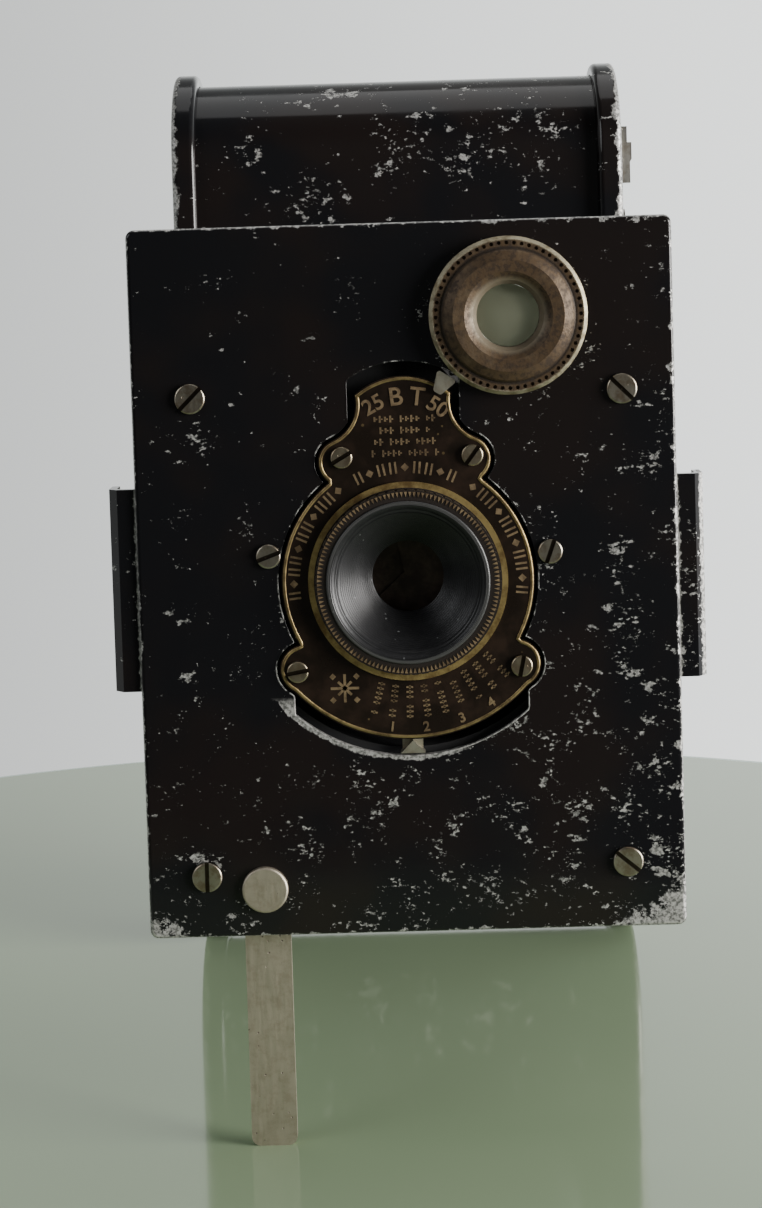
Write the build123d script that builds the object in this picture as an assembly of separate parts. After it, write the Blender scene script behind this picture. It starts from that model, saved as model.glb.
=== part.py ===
from build123d import *
import os
from math import atan2, cos, degrees, radians, sin

# Folding strut camera for 127 roll film, standing upright on its rims and its foot.
# All sizes are in millimetres. +Z is up, the lens looks along -Y, +X is the viewer's right.
# The origin is on the resting surface, under the middle of the overall width and depth.

# ---- driving dimensions --------------------------------------------------------------
BODY_WIDTH = 60.3          # over both side caps, along X
BODY_HEIGHT = 120.6        # over the rims, along Z
BODY_DEPTH = 25.4          # over the rims, along Y
RIM_PROUD = 1.6            # the rims stand this far out of the tube
RIM_WIDTH = 3.2            # width of each rim along X
SHEET = 0.8                # thickness of the formed brass and steel sheet

EXTENSION = 68.0           # front plate's front face to the body's front, pulled out
RELIEF = 2.6               # what stands in front of the front plate
LENS_HEIGHT = 61.0         # optical axis above the resting surface

PLATE_WIDTH = 57.0
PLATE_HEIGHT = 75.2
PLATE_EDGE_DEPTH = 1.6     # depth of the turned edge
GRIP_HEIGHT = 21.5         # finger grips on the plate's sides
GRIP_OUT = 31.3            # grip's outer face from the centre plane
GRIP_DEPTH = 4.4
GRIP_DROP = 0.35           # grip's middle below the optical axis

LINK_LENGTH = 48.0         # pivot to pivot
LINK_WIDTH = 4.0
LINK_THICKNESS = 0.7
OPEN_ANGLE = 42.0          # link to optical axis, pulled out
LINK_PIVOT_RADIUS = 0.8
RUNNING_GAP = 0.05         # radial clearance of a pin in its hole
LAYER_GAP = 0.2            # between neighbouring links
PIVOT_BEHIND_PLATE = 6.2   # front pivots behind the plate's front face
RAIL_OUTER_X = 26.4        # outer face of the tongs' rails
OPENING_HALF_WIDTH = 26.6  # of the well in the body
OPENING_HALF_HEIGHT = 36.0

STANDARD_WIDTH = 54.4      # stiff frame behind the plate
STANDARD_HEIGHT = 69.0
STANDARD_FRONT = 2.9       # its faces' depths behind the plate's front face
STANDARD_BACK = 3.9
HOUSING_RADIUS = 18.8      # shutter housing
HOUSING_FRONT = 1.6
HOUSING_BACK = 9.0

# ---- places worked out from them -----------------------------------------------------
PLATE_Y = RELIEF - (RELIEF + EXTENSION + BODY_DEPTH) / 2
BODY_FRONT_Y = PLATE_Y + EXTENSION
BODY_MID_Y = BODY_FRONT_Y + BODY_DEPTH / 2
BODY_MID_Z = BODY_HEIGHT / 2
BODY_BACK_Y = BODY_FRONT_Y + BODY_DEPTH
TUBE_HEIGHT = BODY_HEIGHT - 2 * RIM_PROUD
TUBE_DEPTH = BODY_DEPTH - 2 * RIM_PROUD
TUBE_FRONT_Y = BODY_FRONT_Y + RIM_PROUD
TUBE_BACK_Y = BODY_BACK_Y - RIM_PROUD
TUBE_HALF_LENGTH = BODY_WIDTH / 2 - 1.2
CHAMBER_OFFSET = (TUBE_HEIGHT - TUBE_DEPTH) / 2
UPPER_CHAMBER_Z = BODY_MID_Z + CHAMBER_OFFSET
LOWER_CHAMBER_Z = BODY_MID_Z - CHAMBER_OFFSET

FRONT_PIVOT_Y = PLATE_Y + PIVOT_BEHIND_PLATE
REACH = LINK_LENGTH * cos(radians(OPEN_ANGLE))
RISE = LINK_LENGTH * sin(radians(OPEN_ANGLE))
KNEE_Y = FRONT_PIVOT_Y + REACH
BODY_PIVOT_Y = FRONT_PIVOT_Y + 2 * REACH
PIVOT_Z = LENS_HEIGHT - LINK_LENGTH / 2
BRACKET_X = RAIL_OUTER_X - LINK_THICKNESS
OUTER_LINK_X = BRACKET_X - LAYER_GAP - LINK_THICKNESS
INNER_LINK_X = OUTER_LINK_X - LAYER_GAP - LINK_THICKNESS

GATE_Y = PLATE_Y + 84.9    # front face of the film gate
GATE_THICKNESS = 1.4
ROLLER_UP = OPENING_HALF_HEIGHT + 2.3   # guide rollers above and below the optical axis
ROLLER_Y = GATE_Y + 0.8
ROLLER_RADIUS = 1.4
ROLLER_HALF_LENGTH = 23.4
ROLLER_PIN_RADIUS = 0.6

SPOOL_HALF_LENGTH = 24.4
SPOOL_CORE_RADIUS = 3.6
SPOOL_FLANGE_RADIUS = 9.2
SPOOL_FLANGE_THICKNESS = 0.6
SPOOL_BORE_DEPTH = 4.4
SPOOL_PIN_RADIUS = 2.0
SPOOL_PIN_TIP = 21.5       # the pins' inner ends, from the centre plane
KEY_HUB_RADIUS = 3.0
WINDOW_RADIUS = 4.0        # red window in the back
RAIL_END = 2.8             # rails run this far past their end pivots
RECESS_DEPTH = 0.35        # the caps' flat sides lie this far below their rolled rims


# ---- small helpers -------------------------------------------------------------------
def block(x, y, z):
    """A box from its low and high values along X, Y and Z."""
    centre = ((x[0] + x[1]) / 2, (y[0] + y[1]) / 2, (z[0] + z[1]) / 2)
    return Pos(*centre) * Box(x[1] - x[0], y[1] - y[0], z[1] - z[0])


def rod_x(radius, x, y, z):
    """A cylinder along X between the two values of x."""
    return Pos((x[0] + x[1]) / 2, y, z) * Rot(0, 90, 0) * Cylinder(radius, abs(x[1] - x[0]))


def stadium(x, height, depth, z=BODY_MID_Z):
    """A round-ended bar in the body's side outline, between the two values of x."""
    side = Plane(origin=(x[0], BODY_MID_Y, z), x_dir=(0, 1, 0), z_dir=(1, 0, 0))
    return extrude(side * SlotOverall(height, depth, rotation=90), amount=x[1] - x[0])


def face_plane(depth):
    """The plane this far behind the front plate's face: its x is right and its y is up."""
    return Plane(origin=(0, PLATE_Y + depth, LENS_HEIGHT), x_dir=(1, 0, 0), z_dir=(0, -1, 0))


def slab(outline, front, back):
    """An outline round the optical axis, as a slab between two depths behind the plate's face."""
    return extrude(face_plane(back) * outline, amount=back - front)


def disc(radius, front, back, right=0.0, up=0.0):
    """A cylinder along the optical axis's direction, between two depths."""
    return slab(Pos(right, up) * Circle(radius), front, back)


def turned(points):
    """A solid of revolution about the optical axis, from (radius, depth) points."""
    section = Plane(origin=(0, PLATE_Y, LENS_HEIGHT), x_dir=(1, 0, 0), z_dir=(0, 0, 1))
    profile = make_face(Polyline(*points, close=True))
    return revolve(section * profile, Axis((0, PLATE_Y, LENS_HEIGHT), (0, 1, 0)))


def widened(span, extra):
    """A pair of values moved apart by this much at each end."""
    return (span[0] - extra, span[1] + extra)


def both_sides(part):
    """The part and its mirror image across the centre plane, as separate solids."""
    return Compound([*part.solids(), *mirror(part, about=Plane.YZ).solids()])


def slotted_screw(right, up, slot_angle, radius, shank, seat, tip):
    """A cheese-head screw whose head stands on a face at the depth of its seat."""
    top = seat - 0.5
    head = disc(radius, top, seat, right, up)
    head = fillet(head.edges().sort_by(Axis.Y)[0], 0.2)
    slot = Pos(right, up) * Rot(0, 0, slot_angle) * Rectangle(2 * radius + 1, 0.45)
    return head + disc(shank, seat, tip, right, up) - slab(slot, top - 1, top + 0.28)


def group(parts):
    """Several separate solids in one node."""
    return Compound([solid for part in parts for solid in part.solids()])


nodes = {}


# ---- body ----------------------------------------------------------------------------
def make_body():
    inside_height = TUBE_HEIGHT - 2 * SHEET
    inside_depth = TUBE_DEPTH - 2 * SHEET
    ends = (-TUBE_HALF_LENGTH, TUBE_HALF_LENGTH)
    well_z = (LENS_HEIGHT - OPENING_HALF_HEIGHT, LENS_HEIGHT + OPENING_HALF_HEIGHT)
    well_x = (-OPENING_HALF_WIDTH, OPENING_HALF_WIDTH)

    tube = stadium(ends, TUBE_HEIGHT, TUBE_DEPTH)
    tube -= stadium((ends[0] - 1, ends[1] + 1), inside_height, inside_depth)
    tube -= block(well_x, (BODY_FRONT_Y, TUBE_FRONT_Y + 2), well_z)
    tube -= Pos(0, TUBE_BACK_Y, BODY_MID_Z) * Rot(90, 0, 0) * Cylinder(WINDOW_RADIUS, 4)
    nodes["body_tube"] = tube

    # The well: four walls from the tube's front down to the film gate.
    outer = block((-OPENING_HALF_WIDTH - SHEET, OPENING_HALF_WIDTH + SHEET),
                  (TUBE_FRONT_Y + SHEET, GATE_Y), (well_z[0] - SHEET, well_z[1] + SHEET))
    nodes["camera_box"] = outer - block(well_x, (TUBE_FRONT_Y, GATE_Y + 1), well_z)

    gate_half_width = 20.5
    gate_half_height = 31.75
    gate = block((-OPENING_HALF_WIDTH - SHEET, OPENING_HALF_WIDTH + SHEET),
                 (GATE_Y, GATE_Y + GATE_THICKNESS), (well_z[0] - SHEET, well_z[1] + SHEET))
    gate -= block((-gate_half_width, gate_half_width), (GATE_Y - 1, GATE_Y + 3),
                  (LENS_HEIGHT - gate_half_height, LENS_HEIGHT + gate_half_height))
    for side in (-1, 1):
        for end in (-1, 1):
            ear_x = sorted((side * 24.7, side * 26.4))
            roller_z = LENS_HEIGHT + end * ROLLER_UP
            ear_z = sorted((LENS_HEIGHT + end * OPENING_HALF_HEIGHT, roller_z + end * ROLLER_RADIUS))
            ear = block(ear_x, (GATE_Y, ROLLER_Y + 1.3), ear_z)
            gate += ear - rod_x(ROLLER_PIN_RADIUS + RUNNING_GAP, (side * 24, side * 27), ROLLER_Y, roller_z)
    nodes["film_gate"] = gate

    # Sprung plate that holds the film flat against the gate.
    film_path = 0.6
    plate_y = GATE_Y + GATE_THICKNESS + film_path
    plate = block((-23.5, 23.5), (plate_y, plate_y + SHEET), (LENS_HEIGHT - 34, LENS_HEIGHT + 34))
    plate -= Pos(0, plate_y, BODY_MID_Z) * Rot(90, 0, 0) * Cylinder(WINDOW_RADIUS + 0.5, 4)
    rib_back = TUBE_BACK_Y - SHEET
    for up in (-22, 22):
        plate += block((-15, 15), (plate_y + SHEET, rib_back), (LENS_HEIGHT + up - 1, LENS_HEIGHT + up + 1))
    nodes["pressure_plate"] = plate

    rim = Pos(0, TUBE_BACK_Y + 0.4, BODY_MID_Z) * Rot(90, 0, 0) * Cylinder(WINDOW_RADIUS + 1.6, 0.8)
    rim = fillet(rim.edges().group_by(Axis.Y)[-1], 0.35)
    rim += Pos(0, TUBE_BACK_Y - SHEET / 2, BODY_MID_Z) * Rot(90, 0, 0) * Cylinder(WINDOW_RADIUS, SHEET)
    rim -= Pos(0, TUBE_BACK_Y, BODY_MID_Z) * Rot(90, 0, 0) * Cylinder(WINDOW_RADIUS - 0.8, 4)
    nodes["red_window_rim"] = rim
    window = Cylinder(WINDOW_RADIUS - 0.8, 0.5)
    nodes["red_window"] = Pos(0, TUBE_BACK_Y - 0.4, BODY_MID_Z) * Rot(90, 0, 0) * window


def side_cap(sign):
    """A cupped end cap: a flat side with a rolled rim round the tube's end."""
    outside = sign * BODY_WIDTH / 2
    inside = sign * TUBE_HALF_LENGTH
    lip = outside - sign * RIM_WIDTH
    cap = stadium(sorted((outside, lip)), BODY_HEIGHT, BODY_DEPTH)
    cap = fillet(cap.edges(), 0.75)
    clearance = 0.1
    cup = stadium(sorted((inside, lip - sign)), TUBE_HEIGHT + 2 * clearance, TUBE_DEPTH + 2 * clearance)
    cap -= cup
    # Shallow step: the flat side lies a little below the rolled rim.
    border = 2.2
    floor = outside - sign * RECESS_DEPTH
    return cap - stadium(sorted((floor, outside + sign)), BODY_HEIGHT - 2 * border, BODY_DEPTH - 2 * border)


def make_side_caps():
    nodes["left_side_cap"] = side_cap(-1)
    pins = []
    for height in (LOWER_CHAMBER_Z, UPPER_CHAMBER_Z):
        pin = rod_x(SPOOL_PIN_RADIUS, (-TUBE_HALF_LENGTH, -SPOOL_PIN_TIP), BODY_MID_Y, height)
        pins.append(chamfer(pin.edges().sort_by(Axis.X)[-1], 0.5))
    nodes["spool_pins"] = group(pins)

    cover = side_cap(1)
    through = (TUBE_HALF_LENGTH - 1, BODY_WIDTH / 2 + 1)
    cover -= rod_x(KEY_HUB_RADIUS + RUNNING_GAP, through, BODY_MID_Y, UPPER_CHAMBER_Z)
    cover += rod_x(SPOOL_PIN_RADIUS, (SPOOL_PIN_TIP, TUBE_HALF_LENGTH + 0.2), BODY_MID_Y, LOWER_CHAMBER_Z)
    nodes["side_cover"] = cover

    # Sliding catch: a nickel strip along the cover's front edge, held by two guide blocks.
    side_x = BODY_WIDTH / 2 - RECESS_DEPTH
    strip_y = (BODY_FRONT_Y + 3.4, BODY_FRONT_Y + 6.4)
    strip_top = side_x + 0.85
    strip = block((side_x + 0.05, strip_top), strip_y, (BODY_MID_Z - 22, BODY_MID_Z + 40))
    strip = fillet(strip.edges().filter_by(Axis.X), 0.9)
    grip = block((strip_top, strip_top + 0.85), strip_y, (BODY_MID_Z - 5, BODY_MID_Z + 5))
    groove_y = widened(strip_y, 1)
    for step in range(5):
        groove_z = BODY_MID_Z - 4 + 2 * step
        grip -= block((side_x + 1.3, side_x + 3), groove_y, (groove_z - 0.4, groove_z + 0.4))
    nodes["cover_catch"] = strip + grip
    guides = []
    for height in (BODY_MID_Z - 14, BODY_MID_Z + 18):
        guide = block((side_x, side_x + 1.6), widened(strip_y, 1), (height - 2, height + 2))
        guide -= block((side_x - 1, side_x + 0.95), widened(strip_y, 0.1), (height - 3, height + 3))
        guides.append(guide)
    nodes["catch_guides"] = group(guides)


def make_winding():
    """Key, spindle, spools and the two guide rollers, which all turn about X."""
    outer_x = BODY_WIDTH / 2
    wing_radius = 3.9
    wing_thickness = 1.8
    hub_end = TUBE_HALF_LENGTH - 1.6
    hub = rod_x(KEY_HUB_RADIUS, (hub_end, outer_x + 0.4), BODY_MID_Y, UPPER_CHAMBER_Z)
    hub += rod_x(wing_radius, (outer_x + 0.02, outer_x + 0.7), BODY_MID_Y, UPPER_CHAMBER_Z)
    # The wing's stepped outline, seen along Y. Its plane's x points outwards and its y points down.
    wing_side = Plane(origin=(outer_x, BODY_MID_Y - wing_thickness / 2, UPPER_CHAMBER_Z), x_dir=(1, 0, 0),
                      z_dir=(0, 1, 0))
    wing = make_face(Polyline((0, -wing_radius), (1.8, -wing_radius), (1.8, -1.7), (2.4, -1.7), (2.4, 0.6),
                              (2.15, 1.0), (2.15, wing_radius), (0, wing_radius), close=True))
    nodes["winding_key"] = hub + extrude(wing_side * wing, amount=wing_thickness)

    spindle_end = SPOOL_PIN_TIP + 1.0
    spindle = rod_x(SPOOL_PIN_RADIUS, (hub_end, spindle_end), BODY_MID_Y, UPPER_CHAMBER_Z)
    blade = Box(2.0, 1.0, 3.0)
    nodes["key_spindle"] = spindle + Pos(spindle_end - 1.0, BODY_MID_Y, UPPER_CHAMBER_Z) * blade

    for name, height in (("take_up_spool", UPPER_CHAMBER_Z), ("supply_spool", LOWER_CHAMBER_Z)):
        spool = rod_x(SPOOL_CORE_RADIUS, (-SPOOL_HALF_LENGTH, SPOOL_HALF_LENGTH), BODY_MID_Y, height)
        for side in (-1, 1):
            end = side * SPOOL_HALF_LENGTH
            spool += rod_x(SPOOL_FLANGE_RADIUS, (end, end - side * SPOOL_FLANGE_THICKNESS), BODY_MID_Y, height)
            bore = (end - side * SPOOL_BORE_DEPTH, end + side)
            spool -= rod_x(SPOOL_PIN_RADIUS + RUNNING_GAP, bore, BODY_MID_Y, height)
        nodes[name] = spool

    for name, side in (("upper_guide_roller", 1), ("lower_guide_roller", -1)):
        height = LENS_HEIGHT + side * ROLLER_UP
        pin_end = ROLLER_HALF_LENGTH + 2.2
        roller = rod_x(ROLLER_RADIUS, (-ROLLER_HALF_LENGTH, ROLLER_HALF_LENGTH), ROLLER_Y, height)
        nodes[name] = roller + rod_x(ROLLER_PIN_RADIUS, (-pin_end, pin_end), ROLLER_Y, height)


# ---- tongs ---------------------------------------------------------------------------
def link(low, high, x):
    """A round-ended strip between two pivots in the YZ plane, with holes at its ends and middle."""
    middle = ((low[0] + high[0]) / 2, (low[1] + high[1]) / 2)
    plane = Plane(origin=(x, *middle), x_dir=(0, high[0] - low[0], high[1] - low[1]), z_dir=(1, 0, 0))
    strip = extrude(plane * SlotCenterToCenter(LINK_LENGTH, LINK_WIDTH), amount=LINK_THICKNESS)
    for place in (low, high, middle):
        strip -= rod_x(LINK_PIVOT_RADIUS + RUNNING_GAP, (x - 1, x + 2), *place)
    return strip


def rivet(place, x, head_x=None):
    """A pivot pin between two values of x, with a flat head on its inner end."""
    pin = rod_x(LINK_PIVOT_RADIUS, x, *place)
    if head_x is not None:
        pin += rod_x(1.5, head_x, *place)
    return pin


def make_tongs():
    top = PIVOT_Z + RISE
    body_pivot = (BODY_PIVOT_Y, PIVOT_Z)
    body_slider = (BODY_PIVOT_Y, top)
    knee_high = (KNEE_Y, top)
    knee_low = (KNEE_Y, PIVOT_Z)
    front_pivot = (FRONT_PIVOT_Y, PIVOT_Z)
    front_slider = (FRONT_PIVOT_Y, top)
    rear_cross = ((BODY_PIVOT_Y + KNEE_Y) / 2, (PIVOT_Z + top) / 2)
    front_cross = ((FRONT_PIVOT_Y + KNEE_Y) / 2, (PIVOT_Z + top) / 2)

    nodes["rear_outer_links"] = both_sides(link(body_pivot, knee_high, OUTER_LINK_X))
    nodes["rear_inner_links"] = both_sides(link(knee_low, body_slider, INNER_LINK_X))
    nodes["front_inner_links"] = both_sides(link(front_pivot, knee_high, INNER_LINK_X))
    nodes["front_outer_links"] = both_sides(link(knee_low, front_slider, OUTER_LINK_X))

    inner_face = INNER_LINK_X
    outer_face = OUTER_LINK_X + LINK_THICKNESS
    head = (inner_face - 0.4, inner_face - 0.05)
    short = (inner_face - 0.1, outer_face)
    long = (OUTER_LINK_X - 0.1, RAIL_OUTER_X)
    full = (inner_face - 0.1, RAIL_OUTER_X)
    nodes["rear_outer_rivets"] = both_sides(group([rivet(rear_cross, short, head), rivet(knee_high, short, head)]))
    nodes["front_inner_rivets"] = both_sides(rivet(front_cross, short, head))
    nodes["rear_inner_pins"] = both_sides(group([rivet(knee_low, short, head), rivet(body_slider, full, head)]))
    nodes["front_outer_pins"] = both_sides(rivet(front_slider, long))
    nodes["body_link_pivots"] = both_sides(rivet(body_pivot, long))
    nodes["front_link_pivots"] = both_sides(rivet(front_pivot, full, head))

    nodes["body_tong_brackets"] = both_sides(tong_rail(BODY_PIVOT_Y, 2.6, OPENING_HALF_WIDTH))
    front = tong_rail(FRONT_PIVOT_Y, PIVOT_BEHIND_PLATE - STANDARD_BACK, RAIL_OUTER_X)
    flange_y = (PLATE_Y + STANDARD_BACK, PLATE_Y + STANDARD_BACK + SHEET)
    front += block((BRACKET_X, STANDARD_WIDTH / 2), flange_y, widened((PIVOT_Z, PIVOT_Z + LINK_LENGTH), RAIL_END))
    nodes["front_tong_brackets"] = both_sides(front)


def tong_rail(pivot_y, front_margin, outer_x):
    """A side rail with a pivot hole at its foot and a slot for the sliding pin above."""
    height = widened((PIVOT_Z, PIVOT_Z + LINK_LENGTH), RAIL_END)
    rail = block((BRACKET_X, outer_x), (pivot_y - front_margin, pivot_y + 2.6), height)
    rail = fillet(rail.edges().filter_by(Axis.X).group_by(Axis.Y)[-1], 1.2)
    rail -= rod_x(LINK_PIVOT_RADIUS, (BRACKET_X - 1, BRACKET_X + 2), pivot_y, PIVOT_Z)
    slot_low = PIVOT_Z + RISE - 0.3
    slot_high = PIVOT_Z + LINK_LENGTH + 0.2
    slot_width = 2 * (LINK_PIVOT_RADIUS + RUNNING_GAP)
    plane = Plane(origin=(BRACKET_X - 1, pivot_y, (slot_low + slot_high) / 2), x_dir=(0, 0, 1), z_dir=(1, 0, 0))
    return rail - extrude(plane * SlotCenterToCenter(slot_high - slot_low, slot_width), amount=3)


# ---- front board ---------------------------------------------------------------------
def half_shield():
    """Right half of the shutter's face outline, from its top round to its bottom."""
    lens_arc = 13.3
    bottom_arc = 16.8
    shoulder = (8.0, 10.62)
    waist = (11.6, -6.5)
    ear_end = (12.35, -11.39)
    outline = [
        ThreePointArc((0, 21.6), (2.65, 21.12), (5.1, 19.7)),
        ThreePointArc((5.1, 19.7), (5.45, 16.9), (7.5, 15.0)),
        ThreePointArc((7.5, 15.0), (9.05, 13.1), shoulder),
        ThreePointArc(shoulder, (lens_arc, 0), waist),
        ThreePointArc(waist, (13.75, -8.9), ear_end),
        ThreePointArc(ear_end, (bottom_arc * sin(radians(24)), -bottom_arc * cos(radians(24))), (0, -bottom_arc)),
        Line((0, -bottom_arc), (0, 21.6)),
    ]
    return make_face(outline)


def shield():
    half = half_shield()
    return half + mirror(half, about=Plane.YZ)


def plate_cutout():
    """The hole in the front plate: the shield with room for two levers to move."""
    top = make_face([
        Line((0, 14), (5.85, 14)),
        Line((5.85, 14), (5.85, 21.3)),
        ThreePointArc((5.85, 21.3), (3.0, 22.68), (0, 23.1)),
        Line((0, 23.1), (0, 14)),
    ])
    sector = Circle(18.6) & Pos(0, -14.6) * Rectangle(24.6, 10)
    return offset(shield(), 0.35) + top + mirror(top, about=Plane.YZ) + sector


FINDER_RIGHT = 11.2
FINDER_UP = 27.6
FINDER_HOLE = 8.9          # in the standard, so that the finder's box can turn
CORNER_SCREWS = [(-22.3, 19.8, 45), (22.9, 19.6, -45), (-22.2, -31.0, 90), (22.4, -30.5, -40)]
MIDDLE_SCREWS = [(-14.6, 3.0, 20), (15.0, 2.7, 70)]
FACE_SCREWS = [(-6.6, 13.2, 30), (7.1, 13.1, 53), (-11.9, -9.3, 10), (11.7, -9.3, 78)]
FOOT_RIGHT = -16.1
FOOT_UP = -32.5


def make_front_plate():
    outline = RectangleRounded(PLATE_WIDTH, PLATE_HEIGHT, 0.9)
    plate = slab(outline, 0, PLATE_EDGE_DEPTH)
    plate = fillet(plate.faces().sort_by(Axis.Y)[0].outer_wire().edges(), 0.45)
    plate -= slab(Rectangle(PLATE_WIDTH - 2 * SHEET, PLATE_HEIGHT - 2 * SHEET), SHEET, PLATE_EDGE_DEPTH + 1)
    plate -= slab(plate_cutout(), -1, 3)
    plate -= disc(8.0, -1, 3, FINDER_RIGHT, FINDER_UP)
    for right, up, _ in CORNER_SCREWS + MIDDLE_SCREWS:
        plate -= disc(0.8, -1, 3, right, up)
    plate -= disc(1.2, -1, 3, FOOT_RIGHT, FOOT_UP)

    # Finger grips: the sheet runs out past each side and rolls back.
    for side in (-1, 1):
        grip = Polyline((side * (PLATE_WIDTH / 2 - 0.6), 0.5), (side * (GRIP_OUT - 0.9), 0.5),
                        (side * GRIP_OUT, 1.4), (side * GRIP_OUT, GRIP_DEPTH),
                        (side * (GRIP_OUT - SHEET), GRIP_DEPTH), (side * (GRIP_OUT - SHEET), 1.65),
                        (side * (GRIP_OUT - 1.15), 1.3), (side * (PLATE_WIDTH / 2 - 0.6), 1.3), close=True)
        section = Plane(origin=(0, PLATE_Y, LENS_HEIGHT - GRIP_DROP - GRIP_HEIGHT / 2))
        plate += extrude(section * make_face(grip), amount=GRIP_HEIGHT)
    nodes["front_plate"] = plate

    screws = [slotted_screw(*place, 1.6, 0.75, 0, STANDARD_BACK - 0.1) for place in CORNER_SCREWS]
    screws += [slotted_screw(*place, 1.3, 0.75, 0, 3.0) for place in MIDDLE_SCREWS]
    nodes["plate_screws"] = group(screws)


def make_standard():
    """Stiff frame behind the plate that carries the tongs and lets the shutter pass."""
    frame = slab(RectangleRounded(STANDARD_WIDTH, STANDARD_HEIGHT, 2.0), STANDARD_FRONT, STANDARD_BACK)
    frame -= disc(HOUSING_RADIUS + 0.02, 0, 6)
    frame -= disc(FINDER_HOLE, 0, 6, FINDER_RIGHT, FINDER_UP)
    frame -= slab(Pos(-25, 33) * Rectangle(16, 13), 0, 6)
    for right, up, _ in CORNER_SCREWS:
        frame += disc(1.7, SHEET, STANDARD_FRONT, right, up)
        frame -= disc(0.75, 0, 6, right, up)
    nodes["front_standard"] = frame


def tapered_tube(front, rear, front_size, rear_size):
    """A four-sided tapering solid between two values of Y, with (width, height) at each end."""
    sections = []
    for y, size in ((front, front_size), (rear, rear_size)):
        plane = Plane(origin=(0, y, LENS_HEIGHT), x_dir=(1, 0, 0), z_dir=(0, -1, 0))
        sections.append(plane * RectangleRounded(*size, 2.0))
    return loft(sections)


def make_bellows():
    front_size = (34.0, 36.0)
    rear_size = (44.0, 67.0)
    frame = 1.0
    wall = 1.2
    ring = slab(RectangleRounded(*front_size, 2.0), HOUSING_BACK, HOUSING_BACK + frame)
    ring -= slab(RectangleRounded(front_size[0] - 6, front_size[1] - 6, 1.5), 0, HOUSING_BACK + 2)
    nodes["bellows_front_frame"] = ring

    rear_y = GATE_Y - 1.2
    rear = block((-22.6, 22.6), (rear_y, GATE_Y), (LENS_HEIGHT - 34.5, LENS_HEIGHT + 34.5))
    rear -= block((-20.8, 20.8), (rear_y - 1, GATE_Y + 1), (LENS_HEIGHT - 32.2, LENS_HEIGHT + 32.2))
    nodes["bellows_rear_frame"] = rear

    front_y = PLATE_Y + HOUSING_BACK + frame
    outside = tapered_tube(front_y, rear_y, front_size, rear_size)
    inner_front = (front_size[0] - 2 * wall, front_size[1] - 2 * wall)
    inner_rear = (rear_size[0] - 2 * wall, rear_size[1] - 2 * wall)
    nodes["bellows"] = outside - tapered_tube(front_y - 0.01, rear_y + 0.01, inner_front, inner_rear)


# ---- shutter and lens ----------------------------------------------------------------
LEVER_LAYER = (0.95, 1.4)      # depths of the two setting levers
HOOD_TUBE_RADIUS = 9.25
SPEED_PIVOT_UP = 14.0
SPEED_ANGLE = 32.0             # speed lever from upright, clockwise
STOP_PIVOT_UP = -7.0
RELEASE_PIVOT = (-11.5, 11.5)
BLADE_PIVOT_RADIUS = 9.9
BLADE_PLATE = (6.3, 6.5)


def make_shutter_case():
    housing = disc(HOUSING_RADIUS, HOUSING_FRONT, HOUSING_BACK)
    floor = HOUSING_BACK - SHEET
    housing -= disc(HOUSING_RADIUS - SHEET, 0, floor)
    housing -= disc(5.2, 0, 12)
    posts = [(right, up, 1.2, 0.6) for right, up, _ in FACE_SCREWS]
    posts += [(right, up, 1.4, SHEET) for right, up, _ in MIDDLE_SCREWS]
    pins = [(0, SPEED_PIVOT_UP, 0.8, 0.75), (0, STOP_PIVOT_UP, 0.9, BLADE_PLATE[1] + 0.05),
            (*RELEASE_PIVOT, 0.8, 1.9)]
    for right, up, radius, front in posts + pins:
        housing += disc(radius, front, floor, right, up)
    for right, up, _, _ in posts:
        housing -= disc(0.6 if abs(right) < 14 else 0.75, 0, 4.0, right, up)
    arm_gap = slab(Pos(-12.3, 15.0) * Rectangle(6.5, 7.0), 0, 3.3)
    nodes["shutter_housing"] = housing - (arm_gap - disc(1.0, 0, 4, *RELEASE_PIVOT))

    face = slab(shield(), -0.2, 0.6) - disc(HOOD_TUBE_RADIUS + 0.1, -1, 2)
    for right, up, _ in FACE_SCREWS:
        face -= disc(0.6, -1, 2, right, up)
    nodes["faceplate"] = face
    nodes["faceplate_screws"] = group([slotted_screw(*place, 1.15, 0.6, -0.2, 3.6) for place in FACE_SCREWS])

    front, back = BLADE_PLATE
    plate = disc(HOUSING_RADIUS - SHEET, front, back) - disc(4.4, 0, 9)
    for right, up, radius, _ in posts + pins[:1] + pins[2:]:
        plate -= disc(radius + 0.05, 0, 9, right, up)
    for index in range(3):
        plate += disc(0.5, 5.2, front, *blade_pivot(index))
    nodes["blade_plate"] = plate


def ring_of_notches(ring_radius, count):
    """Small round notches, evenly spaced on a circle, as an outline."""
    notch = Pos(ring_radius, 0) * Circle(0.2)
    return Sketch() + [Rot(0, 0, 360 * index / count) * notch for index in range(count)]


def make_hood():
    """Black conical hood with fine steps, and the knurled ring round its front."""
    mouth_radius = 8.0
    throat_radius = 3.8
    mouth_depth = -1.7
    throat_depth = 3.5
    steps = 9
    profile = [(8.6, mouth_depth), (8.6, -0.2), (HOOD_TUBE_RADIUS, -0.2), (HOOD_TUBE_RADIUS, 5.0), (4.4, 5.0),
               (throat_radius, throat_depth + 0.5)]
    for step in range(steps, -1, -1):
        share = step / steps
        radius = mouth_radius + (throat_radius - mouth_radius) * share
        depth = mouth_depth + (throat_depth - mouth_depth) * share
        if step < steps:
            profile.append((radius - 0.12, depth + 0.3))
        profile.append((radius, depth))
    nodes["lens_hood"] = turned(profile)

    ring = disc(9.75, -1.5, -0.5) + disc(10.5, -0.5, -0.2)
    ring -= disc(8.62, -3, 1)
    nodes["knurled_ring"] = ring - slab(ring_of_notches(9.85, 60), -2, -0.6)


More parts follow.
